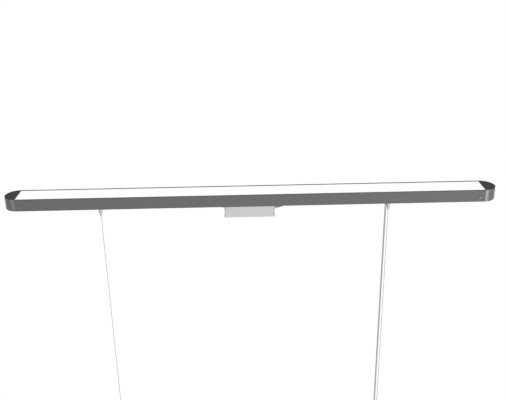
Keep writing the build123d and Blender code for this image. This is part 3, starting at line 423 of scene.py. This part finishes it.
def grain_group():
    """Fine moulded or sprayed grain: two sizes of noise added as a height, and its speckle."""
    tree, start, end = group("fine_grain", [("Size", "NodeSocketFloat", 900.0)],
                             [("Height", "NodeSocketFloat"), ("Speckle", "NodeSocketFloat")])
    vector = object_coordinates(tree)
    size = start.outputs["Size"]
    fine = noise(tree, vector, size, 4.0, 0.6)
    coarse = noise(tree, vector, times(tree, size, COARSE_SIZE), 2.0)
    tree.links.new(blend(tree, fine, coarse, FINE_SHARE), end.inputs["Height"])
    tree.links.new(remap(tree, fine, NOISE_MIDDLE), end.inputs["Speckle"])
    return tree


def lines_group():
    """Drawing or brushing lines along X: noise stretched some eighty times along the bar."""
    tree, start, end = group("drawn_lines", [("Pitch", "NodeSocketFloat", 1500.0)],
                             [("Height", "NodeSocketFloat"), ("Streak", "NodeSocketFloat")])
    vector = object_coordinates(tree, LINE_STRETCH)
    pitch = start.outputs["Pitch"]
    fine = noise(tree, vector, pitch, 3.0, 0.7)
    broad = noise(tree, vector, times(tree, pitch, BROAD_PITCH), 2.0)
    tree.links.new(fine, end.inputs["Height"])
    streak = remap(tree, blend(tree, fine, broad, STREAK_SHARE), NOISE_MIDDLE)
    tree.links.new(streak, end.inputs["Streak"])
    return tree


def edge_group():
    """Rubbed edges: how far the rounded normal leans from the flat one, broken up by noise."""
    tree, start, end = group("rubbed_edges", [("Breakup", "NodeSocketFloat", 260.0)],
                             [("Mask", "NodeSocketFloat"), ("Normal", "NodeSocketVector")])
    bevel = add_node(tree, "ShaderNodeBevel", samples=4)
    bevel.inputs["Radius"].default_value = EDGE_RADIUS
    rounded = bevel.outputs["Normal"]
    product = add_node(tree, "ShaderNodeVectorMath", operation="DOT_PRODUCT")
    tree.links.new(rounded, product.inputs[0])
    tree.links.new(surface_normal(tree), product.inputs[1])
    lean = remap(tree, product.outputs["Value"], EDGE_LEAN)
    patches = noise(tree, object_coordinates(tree), start.outputs["Breakup"])
    mask = times(tree, lean, remap(tree, patches, EDGE_PATCHES))
    tree.links.new(mask, end.inputs["Mask"])
    tree.links.new(rounded, end.inputs["Normal"])
    return tree


def dust_and_top_shade_group():
    """Dust that settles where the surface faces up, gathered into soft patches. Where its amount
    is high, as on the driver case, it is also painted shade on the top.
    """
    tree, start, end = group("dust_and_painted_top_shade", [("Patch", "NodeSocketFloat", 28.0),
                                              ("Amount", "NodeSocketFloat", 0.5)],
                             [("Mask", "NodeSocketFloat")])
    up = remap(tree, along_axis(tree, surface_normal(tree), "Z"), DUST_FACING)
    vector = object_coordinates(tree)
    broad = remap(tree, noise(tree, vector, start.outputs["Patch"], 5.0, 0.65), DUST_PATCHES)
    fine = remap(tree, noise(tree, vector, DUST_GRAIN, 2.0), DUST_GRAIN_LIMITS,
                 DUST_GRAIN_AMOUNTS)
    mask = times(tree, times(tree, up, broad), fine)
    tree.links.new(times(tree, mask, start.outputs["Amount"]), end.inputs["Mask"])
    return tree


def painted_rim_shade_group():
    """Painted shade along the two long rims of a part, from 1 at each rim's height to 0 a width
    away from it. Surfaces that face up have none."""
    tree, start, end = group("painted_rim_shade", [("Low", "NodeSocketFloat", 0.0),
                                             ("High", "NodeSocketFloat", 0.1),
                                             ("Width", "NodeSocketFloat", 0.002)],
                             [("Mask", "NodeSocketFloat")])
    height = along_axis(tree, object_coordinates(tree), "Z")
    away = [math_node(tree, "ABSOLUTE", math_node(tree, "SUBTRACT", height, start.outputs[rim]))
            for rim in ("Low", "High")]
    share = math_node(tree, "DIVIDE", math_node(tree, "MINIMUM", *away), start.outputs["Width"])
    facing = along_axis(tree, surface_normal(tree), "Z")
    mask = times(tree, remap(tree, share, RIM_FADE, FADING),
                 remap(tree, facing, RIM_FACING, FADING))
    tree.links.new(mask, end.inputs["Mask"])
    return tree


GROUPS = {"grain": grain_group(), "lines": lines_group(), "edges": edge_group(),
          "dust": dust_and_top_shade_group(), "rims": painted_rim_shade_group()}
PATTERNS = {"grain": ("Size", "Speckle"), "lines": ("Pitch", "Streak")}


def place_group(tree, name, **values):
    """One of the groups in a material, with values for its inputs."""
    made = add_node(tree, "ShaderNodeGroup", node_tree=GROUPS[name])
    for label, value in values.items():
        made.inputs[label].default_value = value
    return made


# --- materials ------------------------------------------------------------------------
COAT_ROUGHNESS = 0.25
DUST_COLOUR = (0.32, 0.31, 0.29)
DUST_ROUGHNESS = 0.4             # added under full dust
RELIEF_DEPTH = 0.2 * MM
# Painted shade along the bar's two long rims: its width and its darkest tone.
RIM_WIDTH = 2.4 * MM
RIM_TONE = 0.2                   # of the part's own colour

# Each slot's material name, colour, pattern, scale of the pattern, spread of the colour, limits
# of the roughness and strength of the bump, then what sets the material apart.
FINISHES = {
    # rims=0.35 paints shade along the bar's two long rims.
    "bar_paint": ("bar_powder_coat", (0.173, 0.169, 0.171), "grain", 1400.0, 0.06, (0.7, 0.8),
                  0.25, dict(wear=0.15, wear_colour=(0.3, 0.3, 0.3), dust=0.35, specular=0.3,
                             rims=0.35)),
    "cap_paint": ("cap_powder_coat", (0.148, 0.145, 0.147), "grain", 1100.0, 0.06, (0.32, 0.4),
                  0.08, dict(wear=0.2, wear_colour=(0.3, 0.3, 0.3), dust=0.35, coat=0.22)),
    "board_white": ("board_solder_mask", (0.8, 0.81, 0.8), "grain", 600.0, 0.03, (0.35, 0.45),
                    0.1, dict(dust=0.0)),
    "led": ("led_phosphor", (0.9, 0.75, 0.25), "grain", 900.0, 0.08, (0.3, 0.4), 0.1,
            dict(dust=0.0)),
    "cover_grey": ("slot_cover_plastic", (0.15, 0.148, 0.148), "grain", 700.0, 0.1, (0.5, 0.65),
                   0.3, dict(dust=0.45)),
    "screw_steel": ("zinc_screw", (0.62, 0.62, 0.6), "lines", 3000.0, 0.12, (0.25, 0.4), 0.15,
                    dict(metallic=1.0, dust=0.15, wear=0.4, wear_colour=(0.85, 0.85, 0.83))),
    "dark_steel": ("darkened_steel", (0.31, 0.31, 0.31), "lines", 3000.0, 0.12, (0.45, 0.6), 0.15,
                   dict(metallic=1.0, dust=0.15, wear=0.3, wear_colour=(0.5, 0.5, 0.5))),
    "nickel": ("satin_nickel", (0.6, 0.594, 0.59), "lines", 2600.0, 0.08, (0.56, 0.66), 0.08,
               dict(metallic=0.7, wear=0.2, wear_colour=(0.7, 0.69, 0.68), dust=0.1)),
    "steel_wire": ("stranded_steel", (0.36, 0.36, 0.36), "lines", 4000.0, 0.15, (0.25, 0.45), 0.1,
                   dict(metallic=1.0, dust=0.05)),
    "plate_steel": ("zinc_plate", (0.58, 0.58, 0.57), "lines", 1600.0, 0.12, (0.3, 0.45), 0.15,
                    dict(metallic=1.0, dust=0.15, wear=0.4, wear_colour=(0.8, 0.8, 0.8))),
    # The case's dust is partly painted shade: its amount darkens the case's up-facing top.
    "case_aluminium": ("anodised_case", (0.71, 0.7, 0.705), "lines", 1900.0, 0.05, (0.65, 0.75),
                       0.1, dict(metallic=0.35, wear=0.5, wear_colour=(0.85, 0.85, 0.85),
                                 dust=0.5)),
    # A darker copy of the case aluminium: painted shade on the driver's end plates.
    "case_aluminium_shaded": ("cut_plate_end", (0.5, 0.49, 0.495), "lines", 1900.0, 0.05, (0.6, 0.7),
                      0.1, dict(metallic=0.5, wear=0.3, wear_colour=(0.7, 0.7, 0.7), dust=0.3)),
    "board_green": ("circuit_board", (0.03, 0.16, 0.07), "grain", 500.0, 0.2, (0.3, 0.4), 0.2,
                    dict(dust=0.0)),
    "component_black": ("component_black", (0.03, 0.03, 0.035), "grain", 900.0, 0.15, (0.4, 0.55),
                        0.2, dict(dust=0.0)),
    "black_plastic": ("black_moulding", (0.014, 0.014, 0.015), "grain", 1000.0, 0.2, (0.42, 0.58),
                      0.3, dict(dust=0.2, wear=0.2, wear_colour=(0.08, 0.08, 0.08))),
    "grey_plastic": ("grey_moulding", (0.5, 0.5, 0.49), "grain", 1000.0, 0.06, (0.4, 0.55), 0.25,
                     dict(dust=0.25)),
    "white_plastic": ("white_moulding", (0.72, 0.72, 0.7), "grain", 1000.0, 0.04, (0.35, 0.5),
                      0.2, dict(dust=0.25)),
    "cable_grey": ("flex_sheath", (0.43, 0.43, 0.42), "grain", 800.0, 0.08, (0.45, 0.6), 0.3,
                   dict(dust=0.15, sheen=0.05)),
    "wire_red": ("red_insulation", (0.17, 0.035, 0.05), "grain", 800.0, 0.1, (0.38, 0.5), 0.2,
                 dict(dust=0.15)),
    "wire_black": ("black_insulation", (0.075, 0.035, 0.045), "grain", 800.0, 0.15, (0.38, 0.5),
                   0.2, dict(dust=0.15)),
    "lead_grey": ("silver_sheath", (0.42, 0.42, 0.42), "grain", 800.0, 0.06, (0.35, 0.48), 0.2,
                  dict(dust=0.15)),
    "cream_plastic": ("cream_moulding", (0.5, 0.48, 0.4), "grain", 900.0, 0.05, (0.4, 0.55), 0.25,
                      dict(dust=0.2)),
}

# Pieces and cords whose finish isn't that of their own slot, or that have no slot in the record.
PIECE_FINISHES = {"end_cap_left": "cap_paint", "end_cap_right": "cap_paint",
                  "end_cap_screws": "dark_steel",
                  "slot_nut_left": "dark_steel", "slot_nut_right": "dark_steel",
                  # The driver's end plates take the darker copy of the case: painted shade.
                  "driver_end_plate_left": "case_aluminium_shaded",
                  "driver_end_plate_right": "case_aluminium_shaded"}
CORD_FINISHES = {"cable": "cable_grey", "red": "wire_red", "black": "wire_black",
                 "lead": "lead_grey", "wire_left": "steel_wire", "wire_right": "steel_wire"}

OPAL_COLOUR = (0.9, 0.9, 0.89, 1.0)
OPAL_ROUGHNESS = 0.35
OPAL_STRENGTH = 0.82
OPAL_BRIGHT = (1.0, 1.0, 0.99)
OPAL_DIM = (0.86, 0.86, 0.85)
OPAL_EDGE = (END_R * 0.72, END_R * 0.97)    # distances from the middle line where it starts to dim
OPAL_EDGE_SHARE = 0.5
OPAL_CLOUD_SCALE = 9.0
OPAL_CLOUD_LIMITS = (0.3, 0.7)
OPAL_CLOUD_SHARES = (0.0, 0.12)


def shifted(colour, factor):
    """A colour times a factor, held below white."""
    return tuple(min(1.0, channel * factor) for channel in colour)


def plain_material(name):
    """A new material, with its node tree and its shader."""
    material = bpy.data.materials.new(name)
    material.use_nodes = True
    tree = material.node_tree
    return material, tree, tree.nodes["Principled BSDF"]


def finish_material(name, colour, pattern, size, spread, rough, bump, metallic=0.0, wear=0.0,
                    wear_colour=(0.5, 0.5, 0.5), dust=0.3, coat=0.0, sheen=0.0, specular=0.5,
                    rims=0.0):
    """A surface with grain or drawn lines, rubbed edges and settled dust, which on the driver case
    is partly painted shade on its top. spread is how far the colour varies, rough the pair of
    roughness limits and rims how dark the painted shade makes the bar's two long rims."""
    material, tree, shader = plain_material(name)
    for label, value in (("Metallic", metallic), ("Coat Weight", coat),
                         ("Coat Roughness", COAT_ROUGHNESS), ("Sheen Weight", sheen),
                         ("Specular IOR Level", specular)):
        shader.inputs[label].default_value = value
    scale_input, variation = PATTERNS[pattern]
    texture = place_group(tree, pattern, **{scale_input: size})
    vary = texture.outputs[variation]
    edges = place_group(tree, "edges")
    settled = place_group(tree, "dust", Amount=dust)
    base = mixed(tree, vary, shifted(colour, 1 - spread), shifted(colour, 1 + spread))
    worn = mixed(tree, times(tree, edges.outputs["Mask"], wear), base, wear_colour)
    # Painted shade: the bar's long rims are darkened towards RIM_TONE of its colour.
    if rims:
        shaded = place_group(tree, "rims", Low=FACE_Z, High=BACK_Z, Width=RIM_WIDTH)
        worn = mixed(tree, times(tree, shaded.outputs["Mask"], rims), worn,
                     shifted(colour, RIM_TONE))
    dusty = mixed(tree, settled.outputs["Mask"], worn, DUST_COLOUR)
    tree.links.new(dusty, shader.inputs["Base Color"])
    dusty_rough = math_node(tree, "ADD", remap(tree, vary, (0.0, 1.0), rough),
                            times(tree, settled.outputs["Mask"], DUST_ROUGHNESS))
    tree.links.new(dusty_rough, shader.inputs["Roughness"])
    relief = add_node(tree, "ShaderNodeBump")
    relief.inputs["Strength"].default_value = bump
    relief.inputs["Distance"].default_value = RELIEF_DEPTH
    tree.links.new(texture.outputs["Height"], relief.inputs["Height"])
    tree.links.new(edges.outputs["Normal"], relief.inputs["Normal"])
    tree.links.new(relief.outputs["Normal"], shader.inputs["Normal"])
    return material


def opal_material():
    """Opal cover lit from behind: even white glow, a little weaker towards its long edges."""
    material, tree, shader = plain_material("opal_glow")
    shader.inputs["Base Color"].default_value = OPAL_COLOUR
    shader.inputs["Roughness"].default_value = OPAL_ROUGHNESS
    shader.inputs["Emission Strength"].default_value = OPAL_STRENGTH
    vector = object_coordinates(tree)
    across = math_node(tree, "ABSOLUTE",
                       math_node(tree, "SUBTRACT", along_axis(tree, vector, "Y"), BAR_Y))
    edge = times(tree, remap(tree, across, OPAL_EDGE), OPAL_EDGE_SHARE)
    cloud = remap(tree, noise(tree, vector, OPAL_CLOUD_SCALE, 2.0), OPAL_CLOUD_LIMITS,
                  OPAL_CLOUD_SHARES)
    glow = mixed(tree, math_node(tree, "ADD", edge, cloud), OPAL_BRIGHT, OPAL_DIM)
    tree.links.new(glow, shader.inputs["Emission Color"])
    return material


def make_materials():
    """The material of every slot."""
    made = {slot: finish_material(*finish, **apart) for slot, (*finish, apart) in FINISHES.items()}
    made["opal"] = opal_material()
    return made


def dress(piece, material):
    """Give a piece one material in place of those it has."""
    piece.data.materials.clear()
    piece.data.materials.append(material)


def dress_frame(materials, cords, springs):
    """Give every piece of the frame, every cord and both springs their materials."""
    slots = {part["node"]: part["material_slot"] for part in frame["record"]["subparts"]}
    for name, piece in frame["nodes"].items():
        dress(piece, materials[PIECE_FINISHES.get(name, slots[name])])
    for key, slot_name in CORD_FINISHES.items():
        dress(cords[key], materials[slot_name])
    for spring in springs:
        dress(spring, materials["steel_wire"])


# --- lights, floor and world ----------------------------------------------------------
FLOOR_Z = -4.0
FLOOR_HALF = 400.0
FLOOR_SEEN = (0.88, 0.88, 0.875, 1.0)
FLOOR_GLOW = (0.25, 0.25, 0.245)
WORLD_COLOUR = (1.0, 1.0, 1.0, 1.0)
ROOM_LIGHT = 0.66                # strength of the world where the camera doesn't look
# Soft lamps turned to the middle of the bar's back: name, place, width and height, and watts.
LAMPS = (("key", (-2.15, -2.35, 0.45), (1.0, 1.9), 58.0),
         ("side", (2.4, -2.4, 0.5), (0.8, 1.9), 16.0),
         ("back", (0.4, 2.6, 0.8), (2.5, 1.2), 8.0))


def soft_light(name, place, size, power):
    """A rectangular lamp turned to the middle of the bar's back."""
    data = bpy.data.lights.new(name, "AREA")
    data.shape = "RECTANGLE"
    data.size, data.size_y = size
    data.energy = power
    lamp = new_object(name, data)
    lamp.location = place
    towards = Vector((BAR_X, BAR_Y, BACK_Z)) - Vector(place)
    lamp.rotation_euler = towards.to_track_quat("-Z", "Y").to_euler()


def floor_material():
    """Pale matt floor; what it shows the camera is paler than the light that it gives back, so
    undersides stay in shade."""
    material = finish_material("floor_paint", FLOOR_GLOW, "grain", 40.0, 0.01, (0.6, 0.7), 0.05,
                               dust=0.0)
    material.cycles.emission_sampling = "NONE"      # it isn't a lamp, so it takes no light samples
    tree = material.node_tree
    seen = add_node(tree, "ShaderNodeEmission")
    seen.inputs["Color"].default_value = FLOOR_SEEN
    path = add_node(tree, "ShaderNodeLightPath")
    choose = add_node(tree, "ShaderNodeMixShader")
    shader = tree.nodes["Principled BSDF"]
    for index, output in enumerate((path.outputs["Is Camera Ray"], shader.outputs[0],
                                    seen.outputs[0])):
        tree.links.new(output, choose.inputs[index])
    tree.links.new(choose.outputs[0], tree.nodes["Material Output"].inputs["Surface"])
    return material


def make_world():
    """White surroundings that light the part less than they show the camera."""
    world = bpy.data.worlds.new("studio")
    bpy.context.scene.world = world
    world.use_nodes = True
    tree = world.node_tree
    background = tree.nodes["Background"]
    background.inputs["Color"].default_value = WORLD_COLOUR
    path = add_node(tree, "ShaderNodeLightPath")
    strength = remap(tree, path.outputs["Is Camera Ray"], (0.0, 1.0), (ROOM_LIGHT, 1.0))
    tree.links.new(strength, background.inputs["Strength"])


def make_studio():
    """World, floor, lamps and the way the picture's tones are shown."""
    make_world()
    corners = np.array([(-1, -1, 0), (1, -1, 0), (1, 1, 0), (-1, 1, 0)]) * FLOOR_HALF
    corners = corners + np.array((0.0, 0.0, FLOOR_Z))
    floor = mesh_piece("studio_floor", corners, np.array([[0, 1, 2, 3]]))
    dress(floor, floor_material())
    for lamp in LAMPS:
        soft_light(*lamp)
    settings = bpy.context.scene.view_settings
    settings.view_transform = "Standard"
    settings.look = "None"


make_camera()
cords = make_cords()
springs = [grip_spring("left", WIRE_X), grip_spring("right", -WIRE_X)]
dress_frame(make_materials(), cords, springs)
make_studio()
